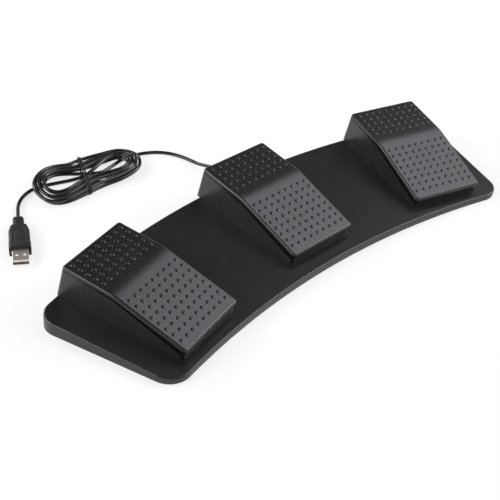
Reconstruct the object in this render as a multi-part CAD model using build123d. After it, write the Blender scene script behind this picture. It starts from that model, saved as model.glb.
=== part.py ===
from build123d import *
import os
from math import atan2, cos, degrees, hypot, pi, radians, sqrt, tan

# Foot switch with three rocking pedals on a curved base, its USB lead and its plug.
# Millimetres, +Z up, +Y to the rear, +X along the base to the right pedal.
# The origin is on the floor, under the middle of the switch without its lead.
# Pedal pieces are drawn in the pedal's own frame: on the deck, under the middle of the
# cover's rear top edge. Everything under the deck is drawn in the deck's frame.

# Base plate: an arc-shaped tray whose deck slopes down to the front
deck_tilt = 3.3
deck_height = 13.8
rear_edge_radius = 646.0
front_edge_radius = 645.0
rear_edge_y = 2.3
plate_depth = 118.9
end_reach = 191.0
end_reach_y = -100.0
end_lean = 17.0
rear_corner_radius = 15.0
front_corner_radius = 16.3
deck_wall = 2.2
rim_wall = 3.0
rim_edge_round = 1.2
rim_lift = 1.0

# Bottom plate, its screws and the feet
bottom_wall = 1.4
bottom_recess = 0.3
bottom_fit = 0.3
boss_radius = 3.5
boss_inset = 12.0
front_screw_inset = 23.0
end_screw_y = -64.0
screw_pilot_end = 0.3
foot_radius = 7.0
foot_inset = 14.0
front_foot_inset = 51.0
end_foot_inset = 17.5
end_foot_y = -46.0
rib_wall = 1.5
rib_rear_y = -40.0
rib_gap = 26.0

# Pedal cover: a flat rear run, then a slope down to the front edge
pedal_width = 64.0
rear_height = 28.7
bend_height = 25.5
front_height = 9.3
rear_run = 43.5
slope_run = 59.4
bend_round = 40.0
cover_wall = 2.4
cover_corner_radius = 2.6
cover_edge_round = 1.7
lip_height = 3.2
skirt_wall = 1.4
skirt_gap = 0.5
skirt_depth = 8.0

# Raised dots on the cover
dot_radius = 1.6
dot_height = 0.55
dot_columns = 9
dot_rear_rows = 5
dot_slope_rows = 8
dot_side_margin = 5.2
dot_rear_margin = 5.8
dot_before_bend = 11.7
dot_after_bend = 9.8
dot_front_margin = 5.5

# Places of the side pedals on the deck
side_inset = 35.5
side_setback = 21.4
side_turn = 14.8

# Pedal housing
housing_wall = 2.2
housing_floor = 1.6
side_flare = 0.0
rear_flare = 5.5
front_setback = 2.0
seam = 0.5
housing_corner_radius = 3.0
housing_front_round = 2.0

# Hinge at the rear of each pedal
press_angle = 1.8
pin_back = 10.0
pin_height = 19.0
pin_radius = 1.5
pin_clearance = 0.05
pin_grip = 0.01
knuckle_radius = 4.0
knuckle_wall = 3.0
side_play = 0.4
pin_head_radius = 2.8
pin_head_height = 1.2
pin_end_gap = 1.3
pin_tail = 0.5
retainer_radius = 3.2
retainer_wall = 0.8

# Catch that holds each cover down against its spring
catch_back = 30.0
catch_length = 6.0
catch_height = 1.6
catch_bite = 0.9
catch_play = 0.3
catch_side_play = 1.0

# Return spring
spring_back = 62.0
spring_radius = 4.5
spring_wire = 1.0
spring_turns = 6.0
spring_seat_height = 15.0
spring_end_gap = 0.05
spring_post_gap = 0.3
spring_post_height = 3.0

# Rubber stops under the front of the cover
stop_x = 14.0
stop_back = 90.0
stop_radius = 3.5
stop_height = 2.0
stop_clearance = 0.25
stop_chamfer = 0.4
stop_post_radius = 3.0
cover_rib_wall = 1.2
cover_rib_height = 3.0

# Screws that hold the housings to the deck
screw_radius = 1.25
screw_head_radius = 2.6
screw_head_height = 1.1
screw_cross = (3.0, 0.6)
screw_pilot_gap = 0.05
screw_hole_gap = 0.35
housing_screw_length = 9.0
bottom_screw_length = 4.0
housing_boss_height = 8.5
housing_boss_inset = 8.0
housing_boss_backs = (24.0, 82.0)

# Boards, switches and headers
board_wall = 1.6
board_rear_back = 26.0
board_rise = 5.0
side_board_gap = 3.5
side_board_depth = 24.0
main_board_gap = 1.0
main_board_depth = 29.0
board_post_radius = 2.5
board_screw_radius = 1.0
board_screw_head_radius = 1.9
board_screw_head_height = 1.2
board_screw_length = 4.5
board_screw_inset = 3.0
board_screw_back = 47.0
board_rest_x = 5.5
board_rest_back = 28.6
switch_back = 38.0
switch_size = (19.8, 6.4, 10.2)
switch_chamfer = 0.5
switch_plunger_shift = 2.4
plunger_size = (2.6, 3.0)
plunger_rise = 1.1
plunger_play = 0.12
plunger_depth = 2.2
plunger_overrun = 0.4
plunger_round = 0.3
actuator_radius = 2.5
actuator_gap = 0.1
chip_size = (7.0, 7.0, 1.2)
chip_back = 49.0
chip_chamfer = 0.25
header_size = (8.0, 4.6, 5.0)
header_inset = 6.5
header_back = 29.0

# Wires inside the tray
wire_radius = 1.1
wire_slot_gap = 3.5
wire_slot_depth = 5.0
wire_slot_back = 22.0
wire_level = 6.0
loom_bends = [(0.675, -30.0), (0.482, -25.0), (0.270, -20.5)]
lead_inner_bend = (6.5, -16.0)
lead_inner_run = 5.5

# Lead, its gland in the rear rim, its hank and tie
lead_radius = 1.5
gland_x = 12.0
gland_level = 6.4
gland_neck_radius = 3.0
gland_flange_radius = 4.2
gland_flange_wall = 1.6
gland_gap = 0.05
gland_inner_gap = 0.5
gland_sleeve = 18.0
gland_sleeve_radius = 3.2
gland_tip_radius = 2.1
gland_grooves = 4
gland_groove_width = 1.2
gland_groove_depth = 0.6
lead_start_run = 9.0
hank_lift = 1.0
hank_height = 7.0
hank_edge_round = 2.4
tie_width = 3.6
tie_wall = 0.8
tie_gap = 0.1
tie_knot_radius = 1.6

# USB plug
plug_width = 15.8
plug_thickness = 8.0
plug_length = 31.0
plug_round = 1.6
plug_shoulder = 9.0
plug_shoulder_round = 8.0
plug_corner_out = 2.4
plug_corner_down = 1.2
plug_corner_round = 3.0
collar_width = 7.6
collar_length = 8.5
arm_width = 1.4
arm_length = 2.6
arm_height = 4.0
shell_size = (12.0, 4.5)
shell_wall = 0.35
shell_reach = 13.4
shell_root = 5.0
latch_size = (2.4, 2.2)
latch_x = 2.9
latch_back = 6.2
tongue_wall = 1.85
tongue_gap = 0.05
tongue_setback = 0.6
contact_width = 1.0
contact_wall = 0.15
contact_pitch = 2.5

half_width = pedal_width / 2
pedal_length = rear_run + slope_run
side_offset = end_reach - side_inset
dot_pitch_across = (pedal_width - 2 * dot_side_margin) / (dot_columns - 1)
dot_pitch_rear = (rear_run - dot_rear_margin - dot_before_bend) / (dot_rear_rows - 1)
dot_pitch_slope = (slope_run - dot_after_bend - dot_front_margin) / (dot_slope_rows - 1)
skirt_half = half_width - housing_wall - skirt_gap
skirt_rear_y = -(housing_wall + skirt_gap)
front_wall_y = -(pedal_length - front_setback)
skirt_front_y = front_wall_y + housing_wall + skirt_gap
pin_y = -pin_back
catch_y = -(pedal_length - catch_back)
pin_outer = skirt_half - skirt_wall - pin_end_gap - pin_head_height
pin_inner = pin_outer - knuckle_wall
lug_x = pin_inner - side_play - knuckle_wall
housing_boss_x = half_width - housing_boss_inset
wire_slot_half = housing_boss_x - boss_radius - wire_slot_gap
side_board_half = housing_boss_x - boss_radius - side_board_gap
main_board_half = housing_boss_x - boss_radius - main_board_gap
board_screw_x = side_board_half - board_screw_inset
header_x = main_board_half - header_inset
board_top = board_rise + board_wall
switch_top = board_top + switch_size[2]
gland_tip_y = rear_edge_y + gland_gap + gland_flange_wall + gland_sleeve
foot_height = rim_lift + bottom_recess
bottom_top = foot_height + bottom_wall
all_round = 3 * end_reach


# Small helpers for plain forms


def block(x, y, z):
    """A box between the two values given for each axis."""
    size = (x[1] - x[0], y[1] - y[0], z[1] - z[0])
    middle = ((x[0] + x[1]) / 2, (y[0] + y[1]) / 2, (z[0] + z[1]) / 2)
    return Pos(*middle) * Box(*size)


def post(radius, x, y, z):
    """An upright cylinder between two heights."""
    return Pos(x, y, (z[0] + z[1]) / 2) * Cylinder(radius, z[1] - z[0])


def cross_rod(radius, x, y, z):
    """A cylinder along X between two values of x."""
    return Pos((x[0] + x[1]) / 2, y, z) * Rot(0, 90, 0) * Cylinder(radius, x[1] - x[0])


def profile_face(points):
    """A flat face in the YZ plane from (y, z) points."""
    return Plane.YZ * make_face(Polyline(*points, close=True))


def across(face, half):
    """The profile carried the same distance to both sides of x = 0."""
    return extrude(face, amount=half, both=True)


def plate_between(points, x):
    """A plate with a (y, z) profile between two values of x."""
    face = Pos((x[0] + x[1]) / 2, 0, 0) * profile_face(points)
    return extrude(face, amount=(x[1] - x[0]) / 2, both=True)


def corner_radii(points):
    """The largest arc that the two runs beside each point of a route leave room for."""
    radii = []
    for before, here, after in zip(points, points[1:], points[2:]):
        run_in = Vector(*here) - Vector(*before)
        run_out = Vector(*after) - Vector(*here)
        turn = radians(run_in.get_angle(run_out))
        radii.append(0.45 * min(run_in.length, run_out.length) / tan(turn / 2))
    return radii


def tube(points, radius, name):
    """A round tube along straight runs and tangent arcs, with its figures printed."""
    radii = corner_radii(points)
    path = FilletPolyline(*points, radius=radii)
    start = Plane(origin=points[0], z_dir=Vector(*points[1]) - Vector(*points[0]))
    solid = sweep(start * Circle(radius), path=path)
    print(name, "length", round(path.length, 1), "radii", [round(r, 1) for r in radii])
    expected = pi * radius**2 * path.length
    print(name, "volume", round(solid.volume, 1), "section x length", round(expected, 1))
    return solid


def drafted(inset, z, front_y):
    """The housing's drafted box, moved in by an inset, between two heights."""
    corners = []
    for height in z:
        spread = 1 - height / rear_height
        x = half_width + side_flare * spread - inset
        y = rear_flare * spread - inset
        front = [(-x, front_y, height), (x, front_y, height)]
        corners.append(front + [(x, y, height), (-x, y, height)])
    low, high = corners
    sides = [low, high]
    for i in range(4):
        j = (i + 1) % 4
        sides.append([low[i], low[j], high[j], high[i]])
    faces = [Face(Wire.make_polygon([Vector(*p) for p in side], close=True)) for side in sides]
    return Solid(Shell(faces))


# Lines of the pedal seen from the side


def top_at(y):
    """Height of the cover's top surface above the deck."""
    if y >= -rear_run:
        return rear_height + (rear_height - bend_height) / rear_run * min(y, 0)
    return bend_height + (bend_height - front_height) / slope_run * (y + rear_run)


def under_at(y):
    """Height of the cover's inner surface."""
    return top_at(y) - cover_wall


def travel_at(y):
    """How far the fully pressed cover has gone down at this place."""
    return max(0, pin_y - y) * tan(radians(press_angle))


def wall_top_at(y):
    """Top of the housing's wall, below the cover's lip over its whole travel."""
    return top_at(y) - lip_height - seam - travel_at(y)


def catch_top():
    """Top of the catch, below the wall's top along its whole length."""
    return wall_top_at(catch_y - catch_length / 2) - catch_play


def skirt_bottom_at(y):
    """Lower edge of the cover's skirt, clear of the housing's floor when pressed."""
    rear = top_at(skirt_rear_y) - lip_height - skirt_depth
    front = housing_floor + travel_at(skirt_front_y) + seam
    share = (skirt_rear_y - y) / (skirt_rear_y - skirt_front_y)
    return rear + (front - rear) * share


# Where the pedals sit

rear_centre_y = rear_edge_y - rear_edge_radius
front_centre_y = rear_edge_y - plate_depth - front_edge_radius


def rear_arc(x):
    return rear_centre_y + sqrt(rear_edge_radius**2 - x**2)


def front_arc(x):
    return front_centre_y + sqrt(front_edge_radius**2 - x**2)


def end_at(y):
    """X of the plate's right end, a straight line that leans outward to the rear."""
    return end_reach + (y - end_reach_y) * tan(radians(end_lean))


def plate_outline():
    """The base plate seen square to its deck."""
    front_y = -2 * plate_depth
    rear_y = plate_depth
    corners = [(-end_at(front_y), front_y), (end_at(front_y), front_y)]
    corners += [(end_at(rear_y), rear_y), (-end_at(rear_y), rear_y)]
    wedge = make_face(Polyline(*corners, close=True))
    shape = wedge & Pos(0, rear_centre_y) * Circle(rear_edge_radius)
    shape -= Pos(0, front_centre_y) * Circle(front_edge_radius)
    corners = shape.vertices().sort_by(Axis.Y)
    shape = fillet(corners[:2], front_corner_radius)
    outer = [v for v in shape.vertices() if v.Y > end_reach_y / 2 and abs(v.X) > end_reach]
    return fillet(outer, rear_corner_radius)


outline = plate_outline()
front_most = outline.bounding_box().min.Y * cos(radians(deck_tilt))
rear_most = rear_flare * cos(radians(deck_tilt))
deck_y = -(front_most + rear_most) / 2
deck = Location((0, deck_y, deck_height), (deck_tilt, 0, 0))
seats = {
    "left": deck * Location((-side_offset, -side_setback, 0), (0, 0, side_turn)),
    "centre": deck,
    "right": deck * Location((side_offset, -side_setback, 0), (0, 0, -side_turn)),
}


def on_deck(x, y, z=0.0):
    """A point of the deck's frame in the part's frame."""
    return (deck * Pos(x, y, z)).position


def above_floor(height):
    """All space from a height above the floor upwards."""
    return block((-all_round, all_round), (-all_round, all_round), (height, all_round))


# Base plate

front_screw_x = end_reach - front_screw_inset
end_screw_x = end_at(end_screw_y) - boss_inset
front_foot_x = end_reach - front_foot_inset
end_foot_x = end_at(end_foot_y) - end_foot_inset
rib_places = [half_width + rib_gap, side_offset - half_width - rib_gap]

plate_screws = [(x * end_reach, rear_arc(x * end_reach) - boss_inset) for x in (-0.5, 0.5)]
for share in (-1, -0.5, 0, 0.5, 1):
    plate_screws.append((share * front_screw_x, front_arc(share * front_screw_x) + boss_inset))
plate_screws += [(-end_screw_x, end_screw_y), (end_screw_x, end_screw_y)]
foot_places = [(x * end_reach, rear_arc(x * end_reach) - foot_inset) for x in (-1 / 3, 1 / 3)]
for share in (-1, -1 / 3, 1 / 3, 1):
    foot_places.append((share * front_foot_x, front_arc(share * front_foot_x) + foot_inset))
foot_places += [(-end_foot_x, end_foot_y), (end_foot_x, end_foot_y)]
housing_screw_places = [(side * housing_boss_x, -back) for side in (-1, 1) for back in housing_boss_backs]
wire_slot = block(
    (-wire_slot_half, wire_slot_half),
    (-wire_slot_back - wire_slot_depth / 2, -wire_slot_back + wire_slot_depth / 2),
    (-deck_wall - 1, housing_floor + 1),
)


def make_base_plate():
    depth = 2 * deck_height
    tray = deck * extrude(outline, amount=-depth)
    tray = tray & above_floor(rim_lift)
    top = tray.faces().filter_by(lambda f: f.normal_at().Z > 0.9).sort_by(SortBy.AREA)[-1]
    tray = fillet(top.edges(), rim_edge_round)
    room = deck * Pos(0, 0, -deck_wall) * extrude(offset(outline, -rim_wall), amount=-depth)
    tray -= room
    inner = Part() + [deck * post(boss_radius, x, y, (-depth, 0)) for x, y in plate_screws]
    for x in rib_places:
        for middle in (-x, x):
            rib_x = (middle - rib_wall / 2, middle + rib_wall / 2)
            inner += deck * block(rib_x, (front_arc(x), rib_rear_y), (-depth, 0))
    inner = inner & room & above_floor(bottom_top)
    tray += inner
    pilot_top = foot_height + bottom_screw_length + screw_pilot_end
    for x, y in plate_screws:
        spot = on_deck(x, y, -deck_wall)
        tray -= post(screw_radius + screw_pilot_gap, spot.X, spot.Y, (0, pilot_top))
    for seat in seats.values():
        tray -= seat * wire_slot
        for x, y in housing_screw_places:
            tray -= seat * post(screw_radius + screw_hole_gap, x, y, (-deck_wall - 1, 1))
    bore = Rot(-90, 0, 0) * Cylinder(gland_neck_radius + gland_gap, rim_wall * 4)
    tray -= deck * Pos(gland_x, rear_edge_y, -gland_level) * bore
    return tray


def make_bottom_plate():
    sheet = deck * extrude(offset(outline, -(rim_wall + bottom_fit)), amount=-2 * deck_height)
    sheet = sheet & above_floor(foot_height) - above_floor(bottom_top)
    for x, y in plate_screws:
        spot = on_deck(x, y, -deck_wall)
        sheet -= post(screw_radius + screw_hole_gap, spot.X, spot.Y, (0, bottom_top + 1))
    return sheet


def make_feet():
    feet = []
    for x, y in foot_places:
        spot = on_deck(x, y, -deck_wall)
        pad = post(foot_radius, spot.X, spot.Y, (0, foot_height))
        feet.append(chamfer(pad.edges().sort_by(Axis.Z)[0], foot_height / 3))
    return feet


def pan_screw(length):
    """A self-tapping screw with its head's seat at z = 0 and its shank upwards."""
    head = post(screw_head_radius, 0, 0, (-screw_head_height, 0))
    head = chamfer(head.edges().sort_by(Axis.Z)[0], screw_head_height / 2)
    shank = post(screw_radius, 0, 0, (0, length))
    half_length, half_width_of_slot = (size / 2 for size in screw_cross)
    slot_z = (-2 * screw_head_height, -screw_head_height / 2)
    cross = block((-half_length, half_length), (-half_width_of_slot, half_width_of_slot), slot_z)
    return head + shank - cross - Rot(0, 0, 90) * cross


def make_bottom_screws():
    screws = []
    for x, y in plate_screws:
        spot = on_deck(x, y, -deck_wall)
        screws.append(Pos(spot.X, spot.Y, foot_height) * pan_screw(bottom_screw_length))
    return screws


def make_housing_screws():
    screws = []
    for seat in seats.values():
        for x, y in housing_screw_places:
            screws.append(seat * Pos(x, y, -deck_wall) * pan_screw(housing_screw_length))
    return screws


# Pedal housing


def knuckle(x, foot_z, outward):
    """A hinge plate from foot_z to the pin, bored for the pin."""
    front_y = pin_y - knuckle_radius
    back_y = pin_y + knuckle_radius
    points = [(front_y, foot_z), (back_y, foot_z), (back_y, pin_height), (front_y, pin_height)]
    plate = plate_between(points, x) + cross_rod(knuckle_radius, x, pin_y, pin_height)
    return plate - cross_rod(pin_radius + outward, (x[0] - 1, x[1] + 1), pin_y, pin_height)


def make_housing():
    shell = drafted(0, (0, rear_height), front_wall_y)
    upright = shell.edges().filter_by(lambda e: abs((e @ 1 - e @ 0).Z) > rear_height / 2)
    shell = fillet(upright.sort_by(Axis.Y)[-2:], housing_corner_radius)
    upright = shell.edges().filter_by(lambda e: abs((e @ 1 - e @ 0).Z) > rear_height / 2)
    shell = fillet(upright.sort_by(Axis.Y)[:2], housing_front_round)
    beyond = 2 * rear_flare
    ahead = -1.1 * pedal_length
    cut = [(beyond, wall_top_at(0))]
    cut += [(y, wall_top_at(y)) for y in (0, pin_y, -rear_run, ahead)]
    cut += [(ahead, 2 * rear_height), (beyond, 2 * rear_height)]
    shell -= across(profile_face(cut), pedal_width)
    inner_front = front_wall_y + housing_wall
    shell -= drafted(housing_wall, (housing_floor, rear_height + 1), inner_front)
    for side in (-1, 1):
        inner = lug_x + knuckle_wall + side_play
        x = sorted((side * inner, side * (inner + knuckle_wall)))
        shell += knuckle(x, housing_floor / 2, pin_grip)
        nub_top = catch_top()
        x = sorted((side * (skirt_half - catch_bite), side * (half_width - housing_wall / 2)))
        y = (catch_y - catch_length / 2, catch_y + catch_length / 2)
        shell += block(x, y, (nub_top - catch_height, nub_top))
        rise = (housing_floor / 2, board_rise)
        shell += post(board_post_radius, side * board_screw_x, -board_screw_back, rise)
        shell += post(board_post_radius, side * board_rest_x, -board_rest_back, rise)
        drill = (board_top - board_screw_length - screw_pilot_end, board_top)
        pilot_radius = board_screw_radius + screw_pilot_gap
        shell -= post(pilot_radius, side * board_screw_x, -board_screw_back, drill)
    for x, y in housing_screw_places:
        shell += post(boss_radius, x, y, (housing_floor / 2, housing_boss_height))
        drill = (-deck_wall, housing_screw_length - deck_wall + screw_pilot_end)
        shell -= post(screw_radius + screw_pilot_gap, x, y, drill)
    post_radius = spring_radius - spring_wire - spring_post_gap
    shell += post(post_radius, 0, -spring_back, (housing_floor / 2, housing_floor + spring_post_height))
    return shell - wire_slot


# Pedal cover


def lowered(drop, y):
    """A point of the cover's top line, lowered."""
    return (y, top_at(y) - drop)


def cover_blank():
    points = [lowered(0, y) for y in (0, -rear_run, -pedal_length)]
    points += [lowered(lip_height, y) for y in (-pedal_length, -rear_run, 0)]
    face = profile_face(points)
    bends = [v for v in face.vertices() if abs(v.Y + rear_run) < 0.01]
    face = fillet(bends, bend_round)
    blank = across(face, half_width)
    short = blank.edges().filter_by(lambda e: e.length < lip_height * 1.2)
    upright = short.filter_by(lambda e: abs((e @ 1 - e @ 0).Z) > lip_height / 2)
    blank = fillet(upright, cover_corner_radius)
    up = blank.faces().filter_by(lambda f: f.normal_at().Z > 0.9)
    seen = {}
    for edge in up.edges():
        centre = edge.center()
        key = (round(centre.X, 2), round(centre.Y, 2), round(centre.Z, 2))
        seen[key] = seen.get(key, []) + [edge]
    single = [edges[0] for edges in seen.values() if len(edges) == 1]
    return fillet([edge for edge in single if not on_bend(edge)], cover_edge_round)


def on_bend(edge):
    """Whether an edge only crosses the cover, at the bend."""
    ends = (edge @ 0, edge @ 1)
    inside = [-pedal_length + 1 < p.Y < -1 for p in ends]
    return all(inside) and abs(ends[0].Y - ends[1].Y) < 0.01


def dot_places():
    """Centres of the raised dots and the slope of the surface that each stands on."""
    rear_slope = degrees(atan2(rear_height - bend_height, rear_run))
    front_slope = degrees(atan2(bend_height - front_height, slope_run))
    for column in range(dot_columns):
        x = (column - (dot_columns - 1) / 2) * dot_pitch_across
        for row in range(dot_rear_rows):
            y = -(dot_rear_margin + row * dot_pitch_rear) * cos(radians(rear_slope))
            yield x, y, rear_slope
        for row in range(dot_slope_rows):
            y = -rear_run - (dot_after_bend + row * dot_pitch_slope) * cos(radians(front_slope))
            yield x, y, front_slope


def make_cover():
    cover = cover_blank()
    skirt = [(y, under_at(y)) for y in (skirt_rear_y, -rear_run, skirt_front_y)]
    skirt += [(y, skirt_bottom_at(y)) for y in (skirt_front_y, skirt_rear_y)]
    cover += across(profile_face(skirt), skirt_half)
    inner_rear = skirt_rear_y - skirt_wall
    inner_front = skirt_front_y + skirt_wall
    room = [(y, under_at(y)) for y in (inner_rear, -rear_run, inner_front)]
    room += [(y, -deck_height) for y in (inner_front, inner_rear)]
    cover -= across(profile_face(room), skirt_half - skirt_wall)
    grip = cover_wall / 2
    for side in (-1, 1):
        x = sorted((side * lug_x, side * (lug_x + knuckle_wall)))
        cover += knuckle(x, under_at(pin_y - knuckle_radius) + grip, pin_clearance)
        rib_x = (side * stop_x - cover_rib_wall / 2, side * stop_x + cover_rib_wall / 2)
        rib_rear = -rear_run / 2
        rib = [(y, under_at(y) + grip) for y in (rib_rear, -rear_run, -stop_back)]
        rib += [(y, under_at(y) - cover_rib_height) for y in (-stop_back, -rear_run, rib_rear)]
        cover += plate_between(rib, rib_x)
        stop_low = housing_floor + stop_height + travel_at(-stop_back) + stop_clearance
        stop_z = (stop_low, under_at(-stop_back) + grip / 2)
        cover += post(stop_post_radius, side * stop_x, -stop_back, stop_z)
        drop = travel_at(catch_y - catch_length / 2)
        window_z = (catch_top() - catch_height - catch_play, catch_top() + drop + catch_play)
        window_half = catch_length / 2 + catch_side_play
        window_y = (catch_y - window_half, catch_y + window_half)
        window_x = sorted((side * (skirt_half - 2 * skirt_wall), side * (skirt_half + skirt_gap)))
        cover -= block(window_x, window_y, window_z)
    seat_z = (spring_seat_height, under_at(-spring_back) + grip / 2)
    cover += post(spring_radius + spring_wire, 0, -spring_back, seat_z)
    post_radius = spring_radius - spring_wire - spring_post_gap
    post_z = (spring_seat_height - spring_post_height, spring_seat_height)
    cover += post(post_radius, 0, -spring_back, post_z)
    actuator_z = (switch_top + plunger_rise + actuator_gap, under_at(-switch_back) + grip)
    cover += post(actuator_radius, 0, -switch_back, actuator_z)
    ball_radius = (dot_radius**2 + dot_height**2) / (2 * dot_height)
    sink = ball_radius - dot_height
    reach = (-ball_radius, ball_radius)
    cap = Pos(0, 0, -sink) * Sphere(ball_radius) & block(reach, reach, (-cover_wall / 4, ball_radius))
    dots = [Pos(x, y, top_at(y)) * Rot(slope, 0, 0) * cap for x, y, slope in dot_places()]
    return cover + dots


# Hinge pin and its retainer


def make_pin():
    shaft = cross_rod(pin_radius, (-pin_outer, pin_outer + retainer_wall + pin_tail), pin_y, pin_height)
    head = cross_rod(pin_head_radius, (-pin_outer - pin_head_height, -pin_outer), pin_y, pin_height)
    return shaft + chamfer(head.edges().sort_by(Axis.X)[0], pin_head_height / 3)


def make_retainer():
    disc = cross_rod(retainer_radius, (pin_outer, pin_outer + retainer_wall), pin_y, pin_height)
    return disc - cross_rod(pin_radius + pin_grip, (pin_inner, 2 * pin_outer), pin_y, pin_height)


# Return spring


def make_spring():
    low = housing_floor + spring_wire / 2 + spring_end_gap
    high = spring_seat_height - spring_wire / 2 - spring_end_gap
    coil_radius = spring_radius - spring_wire / 2
    pitch = (high - low) / spring_turns
    coil = Helix(pitch=pitch, height=high - low, radius=coil_radius)
    start = Plane(origin=coil @ 0, z_dir=coil % 0)
    wire = sweep(start * Circle(spring_wire / 2), path=coil, is_frenet=True)
    return Pos(0, -spring_back, low) * wire


# Switch, boards and headers


def make_switch_body():
    x = (-switch_plunger_shift - switch_size[0] / 2, -switch_plunger_shift + switch_size[0] / 2)
    y = (-switch_back - switch_size[1] / 2, -switch_back + switch_size[1] / 2)
    body = block(x, y, (board_top, switch_top))
    body = chamfer(body.edges().filter_by(Axis.Z), switch_chamfer)
    slot_x = plunger_size[0] / 2 + plunger_play
    slot_half = plunger_size[1] / 2 + plunger_play
    slot_y = (-switch_back - slot_half, -switch_back + slot_half)
    low = switch_top - plunger_depth - plunger_rise - plunger_overrun
    return body - block((-slot_x, slot_x), slot_y, (low, 2 * switch_top))


def make_plunger():
    half_x = plunger_size[0] / 2
    half_y = plunger_size[1] / 2
    y = (-switch_back - half_y, -switch_back + half_y)
    stem = block((-half_x, half_x), y, (switch_top - plunger_depth, switch_top + plunger_rise))
    return fillet(stem.faces().sort_by(Axis.Z)[-1].edges(), plunger_round)


def make_board(half, depth):
    sheet = block((-half, half), (-board_rear_back - depth, -board_rear_back), (board_rise, board_top))
    hole_radius = board_screw_radius + screw_hole_gap
    for side in (-1, 1):
        sheet -= post(hole_radius, side * board_screw_x, -board_screw_back, (0, 2 * board_top))
    return sheet


def make_board_screw(side):
    head = post(board_screw_head_radius, 0, 0, (0, board_screw_head_height))
    head = fillet(head.edges().sort_by(Axis.Z)[-1], board_screw_head_height / 2)
    shank = post(board_screw_radius, 0, 0, (-board_screw_length, 0))
    return Pos(side * board_screw_x, -board_screw_back, board_top) * (head + shank)


def make_header(x):
    half_x = header_size[0] / 2
    half_y = header_size[1] / 2
    y = (-header_back - half_y, -header_back + half_y)
    return block((x - half_x, x + half_x), y, (board_top, board_top + header_size[2]))


def make_chip():
    half_x = chip_size[0] / 2
    half_y = chip_size[1] / 2
    y = (-chip_back - half_y, -chip_back + half_y)
    body = block((-half_x, half_x), y, (board_top, board_top + chip_size[2]))
    return chamfer(body.faces().sort_by(Axis.Z)[-1].edges(), chip_chamfer)


def make_stop(side):
    pad = post(stop_radius, side * stop_x, -stop_back, (housing_floor, housing_floor + stop_height))
    return chamfer(pad.edges().sort_by(Axis.Z)[-1], stop_chamfer)


# Wires inside the switch


def header_exit(seat, x):
    """Route from a header's rear face over the board's edge and down through the deck."""
    level = board_top + header_size[2] / 2
    rear_face = -header_back + header_size[1] / 2
    points = [(x, rear_face, level), (x, -wire_slot_back, level), (x, -wire_slot_back, -wire_level)]
    return [tuple((seat * Pos(*p)).position) for p in points]


def make_loom(side, name):
    """From a side pedal's header through the tray to the main board."""
    outer = header_exit(seats["left" if side < 0 else "right"], -side * header_x)
    inner = header_exit(seats["centre"], side * header_x)
    middle = [tuple(on_deck(side * share * side_offset, y, -wire_level)) for share, y in loom_bends]
    return tube(outer + middle + inner[::-1], wire_radius, name)


def make_lead_inner():
    """The lead's inner end, from the gland to the middle header."""
    up = header_exit(seats["centre"], 0.0)
    inner_y = rear_edge_y - rim_wall - gland_flange_wall - gland_inner_gap
    under = [(gland_x, inner_y), (gland_x, inner_y - lead_inner_run), lead_inner_bend]
    route = [tuple(on_deck(x, y, -gland_level)) for x, y in under]
    return tube(route + up[::-1], wire_radius, "lead_inner")


# Lead outside the switch


def make_gland():
    """Moulded bend relief in the rear rim: two flanges, a neck and a grooved sleeve."""
    inner_face = rear_edge_y - rim_wall - gland_inner_gap
    inner_end = inner_face - gland_flange_wall
    outer_face = rear_edge_y + gland_gap
    sleeve_start = outer_face + gland_flange_wall
    points = [(0, inner_end), (gland_flange_radius, inner_end), (gland_flange_radius, inner_face)]
    points += [(gland_neck_radius, inner_face), (gland_neck_radius, outer_face)]
    points += [(gland_flange_radius, outer_face), (gland_flange_radius, sleeve_start)]
    points += [(gland_sleeve_radius, sleeve_start), (gland_tip_radius, gland_tip_y), (0, gland_tip_y)]
    body = revolve(make_face(Polyline(*points, close=True)), axis=Axis.Y)
    step = gland_sleeve / (gland_grooves + 1)
    for i in range(gland_grooves):
        y = sleeve_start + step * (i + 1)
        share = (y - sleeve_start) / gland_sleeve
        radius = gland_sleeve_radius + (gland_tip_radius - gland_sleeve_radius) * share
        core = Cylinder(radius - gland_groove_depth, gland_groove_width)
        ring = Cylinder(gland_flange_radius, gland_groove_width) - core
        body -= Pos(0, y, 0) * Rot(-90, 0, 0) * ring
    return deck * Pos(gland_x, 0, -gland_level) * body


lead_tip = tuple(on_deck(gland_x, gland_tip_y, -gland_level))
lead_first = tuple(on_deck(gland_x, gland_tip_y + lead_start_run, -gland_level))
lead_rest = [
    (11.9, 108.5, 5.4), (12.1, 120.0, 2.1), (11.0, 132.5, 1.5), (7.0, 144.0, 1.5),
    (0.2, 153.2, 1.5), (-9.5, 159.8, 1.6), (-20.5, 162.8, 2.2), (-30.0, 163.3, 3.0),
]
hank_points = [
    (-27.5, 172.0), (-23.8, 157.0), (-31.0, 142.0), (-49.7, 135.6), (-71.0, 140.6), (-88.0, 139.0),
    (-109.0, 137.3), (-120.3, 144.2), (-123.5, 155.0), (-121.8, 166.0), (-115.5, 176.5), (-103.0, 185.5),
    (-89.5, 188.9), (-77.0, 185.2), (-64.5, 178.6), (-45.0, 177.4),
]
tie_ends = ((-66.0, 177.5), (-84.4, 139.5))
plug_place = (-151.4, 141.4, plug_thickness / 2)
plug_turn = 148.0
tail_points = [(-108.0, 172.5, 3.0), (-118.5, 173.0, 2.0), (-129.0, 169.0, 1.6), (-138.0, 161.2, 2.2)]
tail_last_run = 8.0


def make_hank_face(grow):
    """The hank's outline, moved outward by a clearance."""
    path = Spline(*[Vector(x, y, 0) for x, y in hank_points], periodic=True)
    if grow:
        moved = []
        count = 3 * len(hank_points)
        for i in range(count):
            along = path % (i / count)
            outward = Vector(-along.Y, along.X, 0)
            moved.append(path @ (i / count) + outward * grow)
        path = Spline(*moved, periodic=True)
    return make_face(path)


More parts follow.
